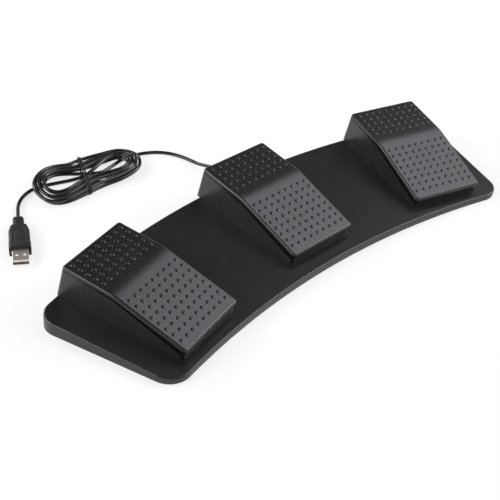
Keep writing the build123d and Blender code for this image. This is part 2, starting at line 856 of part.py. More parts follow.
def make_hank():
    body = Pos(0, 0, hank_lift) * extrude(make_hank_face(0), amount=hank_height)
    top = body.faces().sort_by(Axis.Z)[-1]
    return fillet(top.edges(), hank_edge_round)


def make_tie():
    """A flat tie round the hank's waist, with its twisted end."""
    (x0, y0), (x1, y1) = tie_ends
    angle = degrees(atan2(y1 - y0, x1 - x0))
    reach = 2 * hypot(x1 - x0, y1 - y0)
    strip = Pos((x0 + x1) / 2, (y0 + y1) / 2, 0) * Rot(0, 0, angle) * Box(reach, tie_width, 4 * hank_height)
    low = hank_lift - tie_gap
    high = hank_lift + hank_height + tie_gap
    inner = Pos(0, 0, low) * extrude(make_hank_face(tie_gap), amount=high - low)
    outer_face = make_hank_face(tie_gap + tie_wall)
    outer = Pos(0, 0, low - tie_wall) * extrude(outer_face, amount=high - low + 2 * tie_wall)
    band = (outer & strip) - (inner & strip)
    knot_place = Pos(x0, y0, (low + high) / 2) * Rot(0, 0, angle) * Pos(-tie_knot_radius * 1.2, 0, 0)
    return band + (knot_place * Sphere(tie_knot_radius) - inner)


# USB plug, drawn along +Y from the collar's end at y = 0 to the mouth

plug_end = collar_length + plug_length
mouth_y = plug_end + shell_reach
plug = Location(plug_place, (0, 0, plug_turn))
tail_end = [tuple((plug * Pos(0, -tail_last_run, 0)).position), plug_place]


def make_plug_body():
    half = plug_width / 2
    neck = collar_width / 2
    corner_y = collar_length + plug_corner_down
    shoulder_y = collar_length + plug_shoulder
    right = [(neck, 0), (neck, collar_length), (neck + plug_corner_out, corner_y), (half, shoulder_y), (half, plug_end)]
    points = right + [(-x, y) for x, y in reversed(right)]
    face = make_face(Polyline(*points, close=True))
    face = fillet([v for v in face.vertices() if abs(v.Y - corner_y) < 0.01], plug_corner_round)
    face = fillet([v for v in face.vertices() if abs(v.Y - shoulder_y) < 0.01], plug_shoulder_round)
    body = extrude(face, amount=plug_thickness / 2, both=True)
    level = body.edges().filter_by(lambda e: abs((e @ 0).Z - (e @ 1).Z) < 0.01)
    body = fillet(level.filter_by(lambda e: 0.5 < e.center().Y < plug_end - 0.5), plug_round)
    for side in (-1, 1):
        x = sorted((side * (half - arm_width), side * half))
        body += block(x, (plug_end - 1, plug_end + arm_length), (-arm_height / 2, arm_height / 2))
    pocket_x = shell_size[0] / 2
    pocket_z = shell_size[1] / 2
    pocket_y = (plug_end - shell_root, plug_end + shell_root)
    return body - block((-pocket_x, pocket_x), pocket_y, (-pocket_z, pocket_z))


def make_shell():
    half_x = shell_size[0] / 2
    half_z = shell_size[1] / 2
    y = (plug_end - shell_root, mouth_y)
    tube_wall = block((-half_x, half_x), y, (-half_z, half_z))
    tube_wall = fillet(tube_wall.edges().filter_by(Axis.Y), shell_wall * 1.4)
    room_x = half_x - shell_wall
    room_z = half_z - shell_wall
    tube_wall -= block((-room_x, room_x), (0, 2 * mouth_y), (-room_z, room_z))
    latch_y = mouth_y - latch_back
    y = (latch_y - latch_size[1] / 2, latch_y + latch_size[1] / 2)
    for side in (-1, 1):
        x = (side * latch_x - latch_size[0] / 2, side * latch_x + latch_size[0] / 2)
        tube_wall -= block(x, y, (-shell_size[1], shell_size[1]))
    return tube_wall


tongue_half = shell_size[0] / 2 - shell_wall - tongue_gap
tongue_high = shell_size[1] / 2 - shell_wall - tongue_gap
tongue_low = tongue_high - tongue_wall


def make_tongue():
    y = (plug_end - shell_root, mouth_y - tongue_setback)
    return block((-tongue_half, tongue_half), y, (tongue_low, tongue_high))


def make_contact(place):
    x = (place - 1.5) * contact_pitch
    y = (plug_end, mouth_y - tongue_setback * 2)
    half = contact_width / 2
    return block((x - half, x + half), y, (tongue_low - contact_wall, tongue_low))


# Export, one file for each piece or group of like pieces


def save(name, shapes):
    solids = []
    for shape in shapes:
        solids += list(shape.solids())
    whole = solids[0] if len(solids) == 1 else Compound(children=solids)
    export_step(whole, "parts/" + name + ".step")


os.makedirs("parts", exist_ok=True)
save("base_plate", [make_base_plate()])
save("bottom_plate", [make_bottom_plate()])
save("rubber_feet", make_feet())
save("bottom_screws", make_bottom_screws())
save("housing_screws", make_housing_screws())

housing = make_housing()
cover = make_cover()
pin = make_pin()
retainer = make_retainer()
spring = make_spring()
switch_body = make_switch_body()
plunger = make_plunger()
for name, seat in seats.items():
    save(name + "_housing", [seat * housing])
    save(name + "_cover", [seat * cover])
    save(name + "_hinge_pin", [seat * pin])
    save(name + "_return_spring", [seat * spring])
    save(name + "_switch_body", [seat * switch_body])
    save(name + "_switch_plunger", [seat * plunger])
save("pin_retainers", [seat * retainer for seat in seats.values()])
save("stop_bumpers", [seat * make_stop(side) for seat in seats.values() for side in (-1, 1)])
save("board_screws", [seat * make_board_screw(side) for seat in seats.values() for side in (-1, 1)])
side_board = make_board(side_board_half, side_board_depth)
save("left_switch_board", [seats["left"] * side_board])
save("right_switch_board", [seats["right"] * side_board])
save("main_board", [seats["centre"] * make_board(main_board_half, main_board_depth)])
save("controller_chip", [seats["centre"] * make_chip()])
headers = [seats["centre"] * make_header(x) for x in (-header_x, 0.0, header_x)]
headers += [seats["left"] * make_header(header_x), seats["right"] * make_header(-header_x)]
save("wire_headers", headers)
save("left_loom", [make_loom(-1, "left_loom")])
save("right_loom", [make_loom(1, "right_loom")])
save("lead_inner", [make_lead_inner()])

save("cable_gland", [make_gland()])
save("cable_lead", [tube([lead_tip, lead_first] + lead_rest, lead_radius, "cable_lead")])
save("cable_hank", [make_hank()])
save("twist_tie", [make_tie()])
save("cable_tail", [tube(tail_points + tail_end, lead_radius, "cable_tail")])
save("plug_overmould", [plug * make_plug_body()])
save("plug_shell", [plug * make_shell()])
save("plug_tongue", [plug * make_tongue()])
save("plug_contacts", [plug * make_contact(i) for i in range(4)])
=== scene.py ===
from math import cos, pi, radians, sin

import bmesh
import bpy
from mathutils import Matrix, Vector


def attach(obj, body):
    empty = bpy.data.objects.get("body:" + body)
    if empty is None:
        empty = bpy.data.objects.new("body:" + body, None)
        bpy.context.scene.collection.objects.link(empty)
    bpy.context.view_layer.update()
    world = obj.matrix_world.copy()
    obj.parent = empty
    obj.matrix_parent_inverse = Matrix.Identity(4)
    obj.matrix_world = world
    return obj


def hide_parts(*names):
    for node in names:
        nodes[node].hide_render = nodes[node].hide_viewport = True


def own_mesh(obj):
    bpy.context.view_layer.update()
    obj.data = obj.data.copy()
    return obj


# Foot switch with three rocking pedals on a curved base, with its USB lead in a hank.
# Metres, +Z up, +Y to the rear, in the frame of the CAD model.

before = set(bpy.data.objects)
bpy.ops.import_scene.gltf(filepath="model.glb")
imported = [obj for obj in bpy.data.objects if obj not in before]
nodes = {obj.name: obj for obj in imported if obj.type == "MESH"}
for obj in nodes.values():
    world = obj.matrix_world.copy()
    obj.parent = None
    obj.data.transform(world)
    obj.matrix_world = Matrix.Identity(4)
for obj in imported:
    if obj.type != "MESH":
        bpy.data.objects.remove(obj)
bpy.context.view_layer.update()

# Camera: the photograph's view, from the front left and above, with a slight roll
camera_place = Vector((-0.5104, -0.4463, 0.48728))
camera_aim = Vector((-0.04523, -0.0042, 0.00974))
camera_roll = radians(4.224)
camera_lens = 77.265
sensor_width = 36.0

back = (camera_place - camera_aim).normalized()
level_right = Vector((0, 0, 1)).cross(back).normalized()
level_up = back.cross(level_right)
right = level_right * cos(camera_roll) + level_up * sin(camera_roll)
up = back.cross(right)
camera = bpy.data.objects.new("camera", bpy.data.cameras.new("camera"))
camera.data.lens = camera_lens
camera.data.sensor_width = sensor_width
camera.matrix_world = Matrix.Translation(camera_place) @ Matrix((right, up, back)).transposed().to_4x4()
bpy.context.scene.collection.objects.link(camera)
bpy.context.scene.camera = camera


# Base plate: a curved tray, injection moulded in ABS and textured all over by the spark-eroded
# mould. The grain breaks its gloss into a soft sheen, and the rounded edge keeps a thin
# bright line.

# Numbers of the Mix node's two colours, because its other sockets have the same names
mix_dark = 6
mix_light = 7

# Slow flow marks of a moulding in mm, and the parts of a noise that a map spreads out
flow_marks = 38
grain_spread = (0.3, 0.7)
shade_spread = (0.12, 0.42)


def colour(text):
    """Linear colour from an sRGB hex value."""
    parts = [int(text[i : i + 2], 16) / 255 for i in (1, 3, 5)]
    linear = [p / 12.92 if p <= 0.04045 else ((p + 0.055) / 1.055) ** 2.4 for p in parts]
    return (*linear, 1.0)


def per_metre(millimetres):
    """Texture scale at which one cell of the pattern has this size."""
    return 1000 / millimetres


def add(tree, kind, inputs=(), **settings):
    """Adds a node with its settings, and sets or links its inputs by name or number."""
    node = tree.nodes.new(kind)
    for name, value in settings.items():
        setattr(node, name, value)
    for name, value in dict(inputs).items():
        if isinstance(value, bpy.types.NodeSocket):
            tree.links.new(value, node.inputs[name])
        else:
            node.inputs[name].default_value = value
    return node


def new_material(name):
    """An empty node material and its tree."""
    material = bpy.data.materials.new(name)
    material.use_nodes = True
    material.node_tree.nodes.clear()
    return material, material.node_tree


def surface(tree, shader):
    """Makes the shader the material's surface."""
    add(tree, "ShaderNodeOutputMaterial", {"Surface": shader.outputs[0]})


def patterned(tree, shade, pattern, dark, light, roughness, depth, **constants):
    """A surface whose tint follows the shade, and whose gloss and relief follow the pattern."""
    tint = add(tree, "ShaderNodeMix", {
        0: shade, mix_dark: colour(dark), mix_light: colour(light),
    }, data_type="RGBA")
    pattern_low, pattern_high = grain_spread
    smoothest, roughest = roughness
    gloss = add(tree, "ShaderNodeMapRange", {
        0: pattern, 1: pattern_low, 2: pattern_high, 3: smoothest, 4: roughest,
    })
    relief = add(tree, "ShaderNodeBump", {"Height": pattern, "Distance": depth / 1000, "Strength": 1.0})
    shader = add(tree, "ShaderNodeBsdfPrincipled", {
        "Base Color": tint.outputs[2], "Roughness": gloss.outputs[0], "Normal": relief.outputs[0],
        **constants,
    })
    surface(tree, shader)


def moulded(name, dark, light, roughness, grain, depth, ior=1.5):
    """Plastic or rubber out of a textured mould: two shades, its grain and the grain's depth in mm.

    The shade drifts as the melt flowed, and the grain breaks it up.
    """
    material, tree = new_material(name)
    place = add(tree, "ShaderNodeTexCoord").outputs["Object"]
    flow = add(tree, "ShaderNodeTexNoise", {
        "Vector": place, "Scale": per_metre(flow_marks), "Detail": 3.0,
    })
    speck = add(tree, "ShaderNodeTexNoise", {"Vector": place, "Scale": per_metre(grain), "Detail": 2.0})
    blend = add(tree, "ShaderNodeMath", {
        0: flow.outputs[0], 1: speck.outputs[0],
    }, operation="MULTIPLY")
    shade_low, shade_high = shade_spread
    spread = add(tree, "ShaderNodeMapRange", {0: blend.outputs[0], 1: shade_low, 2: shade_high})
    patterned(tree, spread.outputs[0], speck.outputs[0], dark, light, roughness, depth, IOR=ior)
    return material


def dress(material, *names):
    """Gives CAD nodes their finish."""
    for name in names:
        for slot in nodes[name].material_slots:
            slot.material = material


deck_abs = moulded("abs_moulded_spark_textured", "#0c0c0e", "#161619", (0.3, 0.42), 1.3, 0.02, 1.54)
dress(deck_abs, "base_plate")

# Bottom plate: high-impact polystyrene sheet, stamped to the tray's outline and screwed on.
# Its plain drawn surface is a shade duller than the tray that it closes.
bottom_styrene = moulded("polystyrene_sheet_matt", "#161617", "#1f1f20", (0.55, 0.7), 2.4, 0.03)
dress(bottom_styrene, "bottom_plate")

# Feet and the stops under the pedals: nitrile rubber, moulded and glued on. It is matt and a
# little dusty, so it shows no glint.
nitrile = moulded("nitrile_rubber_moulded", "#131313", "#262625", (0.75, 0.92), 1.0, 0.05, 1.52)
dress(nitrile, "rubber_feet", "stop_bumpers")


# Screws: carbon steel, cold headed and zinc plated. Fine turning marks across the heads blur
# their mirror to a pale grey.

metal_mark_depth = 0.006


def worked_metal(name, dark, light, roughness, mark, stretch):
    """Metal with marks of a size in mm, drawn out along the axes by the stretch."""
    material, tree = new_material(name)
    place = add(tree, "ShaderNodeTexCoord").outputs["Object"]
    drawn = add(tree, "ShaderNodeMapping", {"Vector": place, "Scale": stretch})
    marks = add(tree, "ShaderNodeTexNoise", {
        "Vector": drawn.outputs[0], "Scale": per_metre(mark), "Detail": 4.0,
    })
    shade = marks.outputs[0]
    patterned(tree, shade, shade, dark, light, roughness, metal_mark_depth, Metallic=1.0)
    return material


zinc_plate = worked_metal("steel_zinc_plated", "#9fa3a8", "#c9ccd0", (0.28, 0.45), 0.6, (1, 1, 6))
dress(zinc_plate, "bottom_screws", "housing_screws", "board_screws")

# Pedal housings: ABS boxes, moulded with a finer grain than the base and screwed to the deck
# from beneath. The finer grain makes their walls a little glossier than the deck.
sides = ("left", "centre", "right")
housing_abs = moulded("abs_moulded_fine_texture", "#0f0f11", "#19191c", (0.24, 0.34), 1.1, 0.011, 1.54)
dress(housing_abs, *[side + "_housing" for side in sides])

# Pedal covers: ABS, moulded with their raised dots and snapped over the housings. The satin
# surface mirrors a lamp as an even grey, and each dot catches it as a glint.
cover_abs = moulded("abs_moulded_satin", "#0c0c0e", "#161619", (0.25, 0.38), 1.1, 0.04, 1.54)
dress(cover_abs, *[side + "_cover" for side in sides])

# Hinge pins and their push-on retainers: ground stainless steel, and hardened spring steel.
# The grinding runs round the pins and draws their highlight out along them.
ground_steel = worked_metal("stainless_steel_ground", "#b4b6b9", "#dcdde0", (0.16, 0.28), 0.4, (8, 1, 1))
dress(ground_steel, *[side + "_hinge_pin" for side in sides], "pin_retainers")

# Return springs: patented spring wire, drawn bright, oiled and coiled to six turns. Each stands
# on its housing's floor and gets shorter as its cover comes down. A copy of the rigid coil, with
# its own mesh, takes the place of the rigid one. The oil leaves the wire grey and softly bright.
spring_wire = worked_metal("spring_wire_drawn", "#7d7f84", "#a9abb0", (0.25, 0.4), 0.5, (1, 1, 1))
for side in sides:
    rigid = side + "_return_spring"
    dress(spring_wire, rigid)
    coil = bpy.data.objects.new(side + "_spring_coil", nodes[rigid].data.copy())
    bpy.context.scene.collection.objects.link(coil)
    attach(coil, "base")
    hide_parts(rigid)
    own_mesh(coil)

# Snap-action switches: moulded bodies of glass-filled polyester, whose fibres leave the surface
# dull, and plungers of red acetal, which is slippery and softly glossy.
switch_pbt = moulded("polyester_glass_filled", "#131314", "#242426", (0.5, 0.66), 0.5, 0.02, 1.57)
dress(switch_pbt, *[side + "_switch_body" for side in sides])
plunger_acetal = moulded("acetal_moulded", "#7c2a20", "#8e3629", (0.3, 0.4), 0.9, 0.006, 1.48)
dress(plunger_acetal, *[side + "_switch_plunger" for side in sides])

# Circuit boards: woven glass and epoxy, pressed and coated with green solder resist. The weave
# shows faintly through the resist. It is drawn at a pitch of 1 mm, twice the real one, because
# the real one is too fine to show.
weave_scale = 3.2
weave_depth = 0.00002
board_resist, tree = new_material("glass_epoxy_green_resist")
place = add(tree, "ShaderNodeTexCoord").outputs["Object"]
warp = add(tree, "ShaderNodeTexWave", {
    "Vector": place, "Scale": per_metre(weave_scale),
}, bands_direction="X")
weft = add(tree, "ShaderNodeTexWave", {
    "Vector": place, "Scale": per_metre(weave_scale),
}, bands_direction="Y")
weave = add(tree, "ShaderNodeMath", {
    0: warp.outputs["Fac"], 1: weft.outputs["Fac"],
}, operation="MULTIPLY")
tint = add(tree, "ShaderNodeMix", {
    0: weave.outputs[0], mix_dark: colour("#10402a"), mix_light: colour("#1b5a3b"),
}, data_type="RGBA")
relief = add(tree, "ShaderNodeBump", {"Height": weave.outputs[0], "Distance": weave_depth})
shader = add(tree, "ShaderNodeBsdfPrincipled", {
    "Base Color": tint.outputs[2], "Roughness": 0.32, "Normal": relief.outputs[0], "IOR": 1.55,
})
surface(tree, shader)
dress(board_resist, "left_switch_board", "right_switch_board", "main_board")

# Controller chip: epoxy moulding compound, pressed round the leads. Its silica filler makes it
# a dull dark grey with a very fine grain.
chip_epoxy = moulded("epoxy_moulding_compound", "#1a1a1b", "#2b2b2c", (0.6, 0.75), 0.3, 0.01, 1.55)
dress(chip_epoxy, "controller_chip")

# Wire headers: natural nylon, moulded and soldered to the boards. It is slightly yellow and
# has a waxy sheen.
header_nylon = moulded("nylon_natural_moulded", "#d8d2c0", "#e6e1d2", (0.38, 0.5), 0.8, 0.01, 1.53)
dress(header_nylon, "wire_headers")

# Inner wires: twisted pairs in thin extruded PVC sleeves, laid through the tray. The thin
# sleeves are duller than the lead's sheath.
wire_vinyl = moulded("vinyl_extruded_thin", "#1a1a1b", "#252527", (0.35, 0.45), 1.5, 0.01, 1.53)
dress(wire_vinyl, "left_loom", "right_loom", "lead_inner")


# Lead: a 3 mm PVC cable from the base's rear rim to a USB plug. It runs over the floor, is
# folded into a hank of six loose turns, and leaves it under their left ends. The extruded
# sheath is glossier than the moulded plastics, so each strand carries a thin bright line.
mm = 0.001
lead_diameter = 3.0 * mm
lead_route = [
    (12.0, 88.48, 8.67), (12.0, 97.46, 9.19), (11.9, 108.5, 5.4), (12.1, 120.0, 2.1),
    (11.0, 132.5, 1.5), (7.0, 144.0, 1.5), (0.2, 153.2, 1.5), (-9.5, 159.8, 1.5),
    (-20.5, 163.6, 1.5), (-30.0, 165.2, 1.5),
]
tail_route = [
    (-47.5, 166.8, 7.4), (-56.5, 163.8, 7.0), (-65.0, 161.2, 5.9), (-74.0, 160.4, 3.4),
    (-83.5, 164.0, 1.8), (-95.0, 168.4, 1.5), (-106.0, 172.1, 1.5), (-115.0, 173.4, 1.5),
    (-122.5, 172.0, 1.5), (-131.0, 168.0, 1.6), (-139.2, 160.2, 2.2), (-147.16, 148.18, 4.0),
    (-151.4, 141.4, 4.0),
]
# Outermost and innermost line of the hank, from its right end over the far side to the left
hank_outer = [
    (-33.0, 168.5), (-46.0, 171.5), (-64.5, 176.0), (-77.0, 183.5), (-89.5, 187.4), (-102.3, 184.2),
    (-114.3, 175.6), (-120.4, 165.6), (-122.0, 155.2), (-119.2, 145.2), (-108.8, 138.8),
    (-89.0, 140.0), (-70.0, 141.2), (-50.5, 137.0), (-33.0, 141.5), (-26.5, 155.5),
]
hank_inner = [
    (-39.5, 162.0), (-48.5, 163.5), (-62.0, 163.8), (-75.0, 167.5), (-85.0, 173.0), (-94.5, 176.2),
    (-103.0, 174.2), (-107.8, 168.2), (-107.8, 160.8), (-102.5, 155.2), (-92.5, 154.2),
    (-83.5, 156.4), (-73.5, 157.4), (-58.5, 153.2), (-44.5, 148.8), (-36.5, 153.0),
]
# How far in from the outer line each turn lies: at its right end, on the far side of the
# right lobe, at the waist, at its left end, at the waist again, and on the near side
turn_shares = [
    (0.90, 1.70, 0.98, 0.92, 0.95, 0.78),
    (0.42, 0.42, 0.50, 0.58, 0.50, 0.20),
    (-0.02, 0.10, 0.08, 0.24, -0.02, 0.02),
    (-0.70, -0.62, 0.20, 0.04, 0.10, 0.24),
    (-0.22, -0.05, 0.55, 0.38, 0.48, 0.60),
    (0.12, 0.30, 0.92, 0.76, 0.85, 0.88),
    (0.46, 0.55, 1.30, 1.30, 1.30, 1.30),
]
share_stations = (0, 1.5, 3, 8, 12, 13.0)
turn_count = 6
round_stations = len(hank_outer)

# Heights in mm: the lowest strand's middle, the rise to the second layer and over a crossing,
# and the lift over the tie. The second layer starts after a number of turns.
lowest_line = 1.55
layer_rise = 3.1
tie_lift = 0.75
climb_turn = 2.79
climb_length = 0.2

# Stations of the humps, with half their flat top, and the length of each slope
right_crossing = (15.5, 0.5)
left_crossing = (6, 1)
tie_far_hump = (2.6, 0.6)
tie_near_hump = (11.5, 0.6)
hump_slope = 2
first_crossing_step = 4
outermost_share = 1.1


def eased(share):
    """A share from 0 to 1 with a soft start and end."""
    share = min(max(share, 0.0), 1.0)
    return share * share * (3 - 2 * share)


def share_at(step):
    """How far in the cord lies, a station after station round the hank."""
    known = []
    for turn, row in enumerate(turn_shares):
        known += [(turn * round_stations + s, share) for s, share in zip(share_stations, row)]
    for (a, low), (b, high) in zip(known, known[1:]):
        if a <= step <= b:
            return low + (high - low) * eased((step - a) / (b - a))
    return known[-1][1]


def hump(step, middle, flat):
    """Lift at a station, flat over its middle and with long slopes."""
    half_round = round_stations / 2
    distance = abs((step - middle + half_round) % round_stations - half_round)
    return eased((flat + hump_slope - distance) / hump_slope)


def level_at(step):
    """Height of the cord's middle: two layers, lifted over the tie and where strands cross."""
    layer = eased((step / round_stations - climb_turn) / climb_length + 0.5)
    crossing = 0
    if step > first_crossing_step:
        crossing = hump(step, *right_crossing) * eased(outermost_share + share_at(step))
    crossing = max(crossing, hump(step, *left_crossing))
    over_tie = max(hump(step, *tie_far_hump), hump(step, *tie_near_hump))
    return lowest_line + layer_rise * (layer + crossing) + tie_lift * over_tie


hank_route = []
for step in range(1, turn_count * round_stations + 1):
    outer = Vector(hank_outer[step % round_stations])
    inner = Vector(hank_inner[step % round_stations])
    hank_route.append((*(outer + (inner - outer) * share_at(step)), level_at(step)))

cord_points = [Vector(point) * mm for point in lead_route + hank_route + tail_route]
cord_curve = bpy.data.curves.new("usb_lead", "CURVE")
cord_curve.dimensions = "3D"
spline = cord_curve.splines.new("NURBS")
spline.points.add(len(cord_points) - 1)
for point, place in zip(spline.points, cord_points):
    point.co = (*place, 1.0)
spline.order_u = 3
spline.use_endpoint_u = True
cord_curve.resolution_u = 10

# The cord's middle line as points, read before the curve gets its thickness
line_object = bpy.data.objects.new("lead_line", cord_curve)
line_mesh = bpy.data.meshes.new_from_object(line_object)
lead_line = [vertex.co.copy() for vertex in line_mesh.vertices]
bpy.data.objects.remove(line_object)
bpy.data.meshes.remove(line_mesh)

cord_curve.bevel_depth = lead_diameter / 2
cord_curve.bevel_resolution = 5
cord_curve.use_fill_caps = True
usb_lead = bpy.data.objects.new("usb_lead", cord_curve)
bpy.context.scene.collection.objects.link(usb_lead)
sheath_vinyl = moulded("vinyl_extruded_sheath", "#0b0b0c", "#171718", (0.18, 0.25), 1.8, 0.003, 1.53)
cord_curve.materials.append(sheath_vinyl)
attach(usb_lead, "base")
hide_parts("cable_lead", "cable_hank", "cable_tail")

# Bend relief in the rear rim: soft PVC, moulded round the cable with grooves that let it bend.
# It is softer than the sheath and duller.
relief_vinyl = moulded("vinyl_soft_moulded", "#161617", "#212123", (0.5, 0.62), 1.2, 0.03, 1.53)
dress(relief_vinyl, "cable_gland")


# Tie: two thin strips of extruded polythene on steel wire, side by side round the hank's waist.
# They pass under the hank, hug its strands, and are twisted together on the far side. The
# polythene is smooth and greasy, so its flat sides shine a little.
tie_polythene = moulded("polythene_strip_extruded", "#121213", "#1d1d1f", (0.25, 0.36), 1.4, 0.015, 1.51)
tie_far = Vector((-66.0, 177.5, 0)) * mm
tie_near = Vector((-84.4, 139.5, 0)) * mm
strip_width = 1.3 * mm
strip_wall = 0.6 * mm
strip_rounding = 0.4
strip_spacing = 1.8 * mm
strip_clearance = 0.08 * mm
strip_reach_past = 0.006
half_round_steps = 12
sharp_edge = radians(50)


def rounded_outline(half_wide, half_high, radius, corner_steps=4):
    """Points of a rounded rectangle, each with its outward direction."""
    outline = []
    for quarter in range(4):
        side_x = (1, -1, -1, 1)[quarter]
        side_y = (1, 1, -1, -1)[quarter]
        for step in range(corner_steps + 1):
            angle = (quarter + step / corner_steps) * pi / 2
            x = side_x * (half_wide - radius) + radius * cos(angle)
            y = side_y * (half_high - radius) + radius * sin(angle)
            outline.append((x, y, cos(angle), sin(angle)))
    return outline


def swept(path, section, closed):
    """Carries a section along a path of places, each with its across and outward direction."""
    corners = []
    faces = []
    size = len(section)
    for place, across, outward in path:
        corners += [place + across * a + outward * h for a, h in section]
    for row in range(len(path) if closed else len(path) - 1):
        low = row * size
        high = (row + 1) % len(path) * size
        for i in range(size):
            j = (i + 1) % size
            faces.append((low + i, low + j, high + j, high + i))
    if not closed:
        faces.append(tuple(range(size)))
        faces.append(tuple(range(len(corners) - size, len(corners))))
    return corners, faces


def piece(name, parts, material):
    """One object of several swept parts that rides on the base."""
    whole = bmesh.new()
    for corners, faces in parts:
        made = [whole.verts.new(corner) for corner in corners]
        for face in faces:
            whole.faces.new([made[i] for i in face])
    bmesh.ops.recalc_face_normals(whole, faces=whole.faces)
    mesh = bpy.data.meshes.new(name)
    whole.to_mesh(mesh)
    whole.free()
    mesh.shade_smooth()
    mesh.set_sharp_from_angle(angle=sharp_edge)
    mesh.materials.append(material)
    made_piece = bpy.data.objects.new(name, mesh)
    bpy.context.scene.collection.objects.link(made_piece)
    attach(made_piece, "base")
    return made_piece


def cross(a, b, c):
    """Positive where the way from a over b to c turns left."""
    return (b[0] - a[0]) * (c[1] - a[1]) - (b[1] - a[1]) * (c[0] - a[0])


def hull(points):
    """Convex outline round points of a plane, anticlockwise."""
    ordered = sorted(points)
    chains = []
    for run in (ordered, ordered[::-1]):
        chain = []
        for p in run:
            while len(chain) > 1 and cross(chain[-2], chain[-1], p) <= 0:
                chain.pop()
            chain.append(p)
        chains += chain[:-1]
    return chains


waist = (tie_near - tie_far).normalized()
waist_across = Vector((waist.y, -waist.x, 0))


def strip_path(offset):
    """The line of one strip round the strands that cross its plane."""
    start = tie_far + waist_across * offset
    ring = []
    reach = lead_diameter / 2 + strip_clearance + strip_wall / 2
    for a, b in zip(lead_line, lead_line[1:]):
        side_a = (a - start).dot(waist_across)
        side_b = (b - start).dot(waist_across)
        if side_a * side_b > 0 or side_a == side_b:
            continue
        met = a.lerp(b, side_a / (side_a - side_b))
        along = (met - start).dot(waist)
        if -strip_reach_past < along < (tie_near - tie_far).length + strip_reach_past:
            for step in range(2 * half_round_steps):
                angle = step * pi / half_round_steps
                ring.append((along + reach * cos(angle), met.z + reach * sin(angle)))
    outline = hull(ring)
    path = []
    for i, (along, level) in enumerate(outline):
        before = outline[i - 1]
        after = outline[(i + 1) % len(outline)]
        outward = Vector((after[1] - before[1], before[0] - after[0])).normalized()
        place = start + waist * along + Vector((0, 0, level))
        path.append((place, waist_across, waist * outward.x + Vector((0, 0, outward.y))))
    return path


strip_outline = rounded_outline(strip_width / 2, strip_wall / 2, strip_wall * strip_rounding)
strip_section = [(x, y) for x, y, _, _ in strip_outline]
strips = [strip_path(side * strip_spacing / 2) for side in (-1, 1)]
tie_parts = [swept(path, strip_section, True) for path in strips]

# The knot's two twisted ends, off the strips' outermost point on the far side. They droop a
# little, and draw together towards their tips.
knot_length = 3.4 * mm
knot_turns = 1.5
knot_steps = 30
knot_bulk = 1.1
knot_droop = 0.3
knot_narrowing = 0.3
farthest = min(strips[0], key=lambda row: (row[0] - tie_far).dot(waist))
knot_root = farthest[0] + waist_across * strip_spacing / 2
knot_way = (-waist - Vector((0, 0, knot_droop))).normalized()
knot_up = knot_way.cross(waist_across)
knot_radius = strip_wall * knot_bulk
knot_section = [(knot_radius * x, knot_radius * y) for x, y, _, _ in rounded_outline(1, 1, 1)]
for turn in (0, pi):
    ends = []
    for step in range(knot_steps + 1):
        share = step / knot_steps
        angle = turn + share * knot_turns * 2 * pi
        spread = knot_radius * (1 - knot_narrowing * share)
        outward = waist_across * cos(angle) + knot_up * sin(angle)
        place = knot_root + knot_way * (share * knot_length - strip_wall) + outward * spread
        ends.append((place, outward, knot_way.cross(outward)))
    tie_parts.append(swept(ends, knot_section, False))
hank_tie = piece("hank_tie", tie_parts, tie_polythene)
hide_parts("twist_tie")


# USB plug: a PVC overmould on a drawn and nickel-plated steel shell, with a natural polyester
# tongue and gold-plated contacts. The mould adds grip bands, an arched rib and a plain panel.
# The plug lies flat on the floor, so nothing stands out from its lower face.

# The overmould is matt and nearly black, and its ribs show as slightly brighter lines
plug_vinyl = moulded("vinyl_overmould_matt", "#0f1011", "#18191b", (0.42, 0.55), 0.9, 0.02, 1.53)
dress(plug_vinyl, "plug_overmould")
# Nickel is warmer than zinc, and its draw marks along the shell blur what it mirrors
shell_steel = worked_metal("steel_nickel_plated", "#d6cdc2", "#ece4da", (0.32, 0.46), 0.7, (1, 6, 1))
dress(shell_steel, "plug_shell")
# Without pigment the polyester is a chalky white
tongue_pbt = moulded("polyester_moulded_natural", "#e4e3df", "#f2f1ee", (0.4, 0.5), 0.6, 0.004, 1.57)
dress(tongue_pbt, "plug_tongue")
# The thin gold is yellow and bright, with the rolling marks of the brass under it
contact_gold = worked_metal("brass_gold_plated", "#c99a45", "#e5bd6a", (0.2, 0.3), 0.4, (1, 6, 1))
dress(contact_gold, "plug_contacts")

# The plug's own frame starts at the lead's end, with +Y to the shell. Its body and collar:
plug_half_wide = 7.9 * mm
plug_half_high = 4.0 * mm
plug_rounding = 1.6 * mm
plug_corner_steps = 6
plug_front = 39.5 * mm
collar_half_wide = 3.8 * mm
plug_underside = 0.05 * mm
plug_turn = radians(148)
plug_place = Matrix.Translation(cord_points[-1]) @ Matrix.Rotation(plug_turn, 4, "Z")

# Each band's place along the plug, its width and how far it stands out
front_band = (plug_front - 4.4 * mm, 8.2 * mm, 0.3 * mm)
collar_bands = [(2.4 * mm, 1.8 * mm, 0.45 * mm), (6.0 * mm, 1.6 * mm, 0.35 * mm)]

# The arched rib and the panel inside it, with the roundness of their edges
arch_half = 5.5 * mm
arch_foot = 30.0 * mm
arch_spring = 19.5 * mm
arch_stretch = 1.15
arch_steps = 16
arch_width = 1.5 * mm
arch_height = 0.35 * mm
panel_half = 3.7 * mm
panel_front = 29.5 * mm
panel_back = 18.5 * mm
panel_height = 0.2 * mm
edge_rounding = 0.8


def plug_way(x, y, z):
    """A direction of the plug's own frame in the part's frame."""
    return plug_place.to_3x3() @ Vector((x, y, z))


def raised_section(width, proud):
    """Section of a band or rib, as offsets across and outward."""
    return [(a, h) for a, h, _, _ in rounded_outline(width / 2, proud, proud * edge_rounding)]


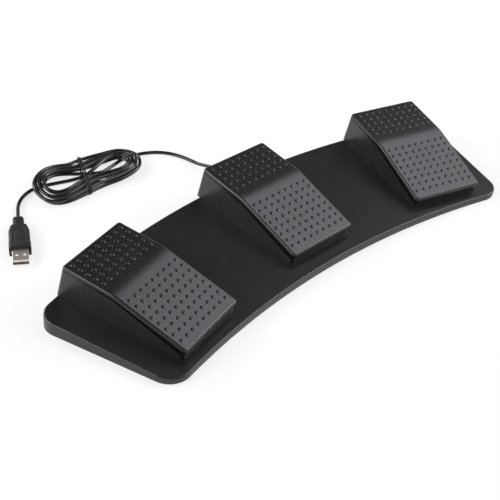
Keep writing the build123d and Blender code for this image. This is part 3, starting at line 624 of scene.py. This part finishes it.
def grip_band(half_wide, middle, width, proud):
    """A band round the plug's body, standing proud of its sides and its upper face."""
    path = []
    for x, z, out_x, out_z in rounded_outline(half_wide, plug_half_high, plug_rounding, plug_corner_steps):
        path.append((plug_place @ Vector((x, middle, z)), plug_way(0, 1, 0), plug_way(out_x, 0, out_z)))
    corners, faces = swept(path, raised_section(width, proud), True)
    return [Vector((x, y, max(z, plug_underside))) for x, y, z in corners], faces


def raised_line(points, width, proud):
    """A rib along points of the plug's upper face."""
    path = []
    for i, (x, y) in enumerate(points):
        before = Vector(points[max(i - 1, 0)])
        after = Vector(points[min(i + 1, len(points) - 1)])
        way = (after - before).normalized()
        place = plug_place @ Vector((x, y, plug_half_high))
        path.append((place, plug_way(way.y, -way.x, 0), plug_way(0, 0, 1)))
    return swept(path, raised_section(width, proud), False)


grip_parts = [grip_band(plug_half_wide, *front_band)]
grip_parts += [grip_band(collar_half_wide, *band) for band in collar_bands]
arch = [(-arch_half, arch_foot), (-arch_half, arch_spring)]
for step in range(1, arch_steps):
    angle = step * pi / arch_steps
    rise = arch_half * arch_stretch * sin(angle)
    arch.append((-arch_half * cos(angle), arch_spring - rise))
arch += [(arch_half, arch_spring), (arch_half, arch_foot)]
grip_parts.append(raised_line(arch, arch_width, arch_height))
grip_parts.append(raised_line([(0, panel_back), (0, panel_front)], panel_half * 2, panel_height))
plug_grip = piece("plug_grip", grip_parts, plug_vinyl)


# Studio: a sheet of white paper for a floor and a dim room, lit by six soft boxes. The paper
# keeps a soft shadow under the switch, and its edge lies far outside the view.
bpy.context.scene.view_settings.view_transform = "Standard"
half_floor = 6.0
floor_corners = [(-1, -1), (1, -1), (1, 1), (-1, 1)]
floor_mesh = bpy.data.meshes.new("floor")
floor_mesh.from_pydata([(half_floor * x, half_floor * y, 0) for x, y in floor_corners], [], [(0, 1, 2, 3)])
floor = bpy.data.objects.new("floor", floor_mesh)
bpy.context.scene.collection.objects.link(floor)

# What the eye and the gloss see of the paper is mostly its own white, with a soft shadow
own_white_share = 0.72
floor_paper, tree = new_material("paper_white_matt")
rays = add(tree, "ShaderNodeLightPath")
seen = add(tree, "ShaderNodeMath", {
    0: rays.outputs["Is Camera Ray"], 1: rays.outputs["Is Glossy Ray"],
}, operation="MAXIMUM")
seen = add(tree, "ShaderNodeMath", {
    0: seen.outputs[0], 1: rays.outputs["Is Transmission Ray"],
}, operation="MAXIMUM")
own_white = add(tree, "ShaderNodeMath", {0: seen.outputs[0], 1: own_white_share}, operation="MULTIPLY")
matt = add(tree, "ShaderNodeBsdfDiffuse", {"Color": colour("#f7f7f7")})
glow = add(tree, "ShaderNodeEmission", {"Color": colour("#ffffff"), "Strength": 1.0})
paper = add(tree, "ShaderNodeMixShader", {
    0: own_white.outputs[0], 1: matt.outputs[0], 2: glow.outputs[0],
})
surface(tree, paper)
floor_mesh.materials.append(floor_paper)

# The room is bright at the horizon, where the paper sweeps up, and dim overhead
sweep_start = 0.1
sweep_end = 0.4
horizon_strength = 0.9
overhead_strength = 0.1
world = bpy.data.worlds.new("room")
world.use_nodes = True
tree = world.node_tree
tree.nodes.clear()
direction = add(tree, "ShaderNodeTexCoord").outputs["Generated"]
height = add(tree, "ShaderNodeSeparateXYZ", {0: direction}).outputs["Z"]
sweep = add(tree, "ShaderNodeMapRange", {
    0: height, 1: sweep_start, 2: sweep_end, 3: horizon_strength, 4: overhead_strength,
}, interpolation_type="SMOOTHSTEP")
room = add(tree, "ShaderNodeBackground", {"Color": colour("#ffffff"), "Strength": sweep.outputs[0]})
add(tree, "ShaderNodeOutputWorld", {"Surface": room.outputs[0]})
bpy.context.scene.world = world

# Blender spreads an area lamp's watts over four times its area
lamp_spread = 4


def soft_box(name, direction, distance, width, height, radiance, tint="#ffffff"):
    """A rectangular lamp that faces the middle of the switch."""
    lamp = bpy.data.lights.new(name, "AREA")
    lamp.shape = "RECTANGLE"
    lamp.size = width
    lamp.size_y = height
    lamp.energy = radiance * lamp_spread * width * height
    lamp.color = colour(tint)[:3]
    box = bpy.data.objects.new(name, lamp)
    toward = Vector(direction).normalized()
    box.location = toward * distance
    box.rotation_euler = toward.to_track_quat("Z", "Y").to_euler()
    bpy.context.scene.collection.objects.link(box)


# Above on the right, for the even grey of the pedals' slopes
soft_box("key_box", (0.577, -0.1, 0.8), distance=1.5, width=1.1, height=0.9, radiance=2.3, tint="#f6f8ff")
# Beside the camera and dim, for the walls that face it
soft_box("fill_box", (-0.6, -0.6, 0.55), distance=1.9, width=2.0, height=1.5, radiance=0.4)
# Along the left side, for the rim and the walls of the left pedal
soft_box("left_box", (-0.8, 0.42, 0.5), distance=1.6, width=1.2, height=0.7, radiance=5.8)
# Small and low on the right, for a glint on the right of each dot
soft_box("right_box", (0.8, -0.28, 0.5), distance=1.5, width=0.35, height=0.35, radiance=12.0)
# Long and low at the front, for a line along the covers' front edges
soft_box("front_box", (0.62, -0.6, 0.48), distance=1.5, width=1.1, height=0.35, radiance=3.8)
# Small and low at the rear, for a glint on the far side of each dot and the lead's bright line
soft_box("low_rear_box", (-0.13, 0.85, 0.45), distance=1.5, width=0.32, height=0.25, radiance=18.0)
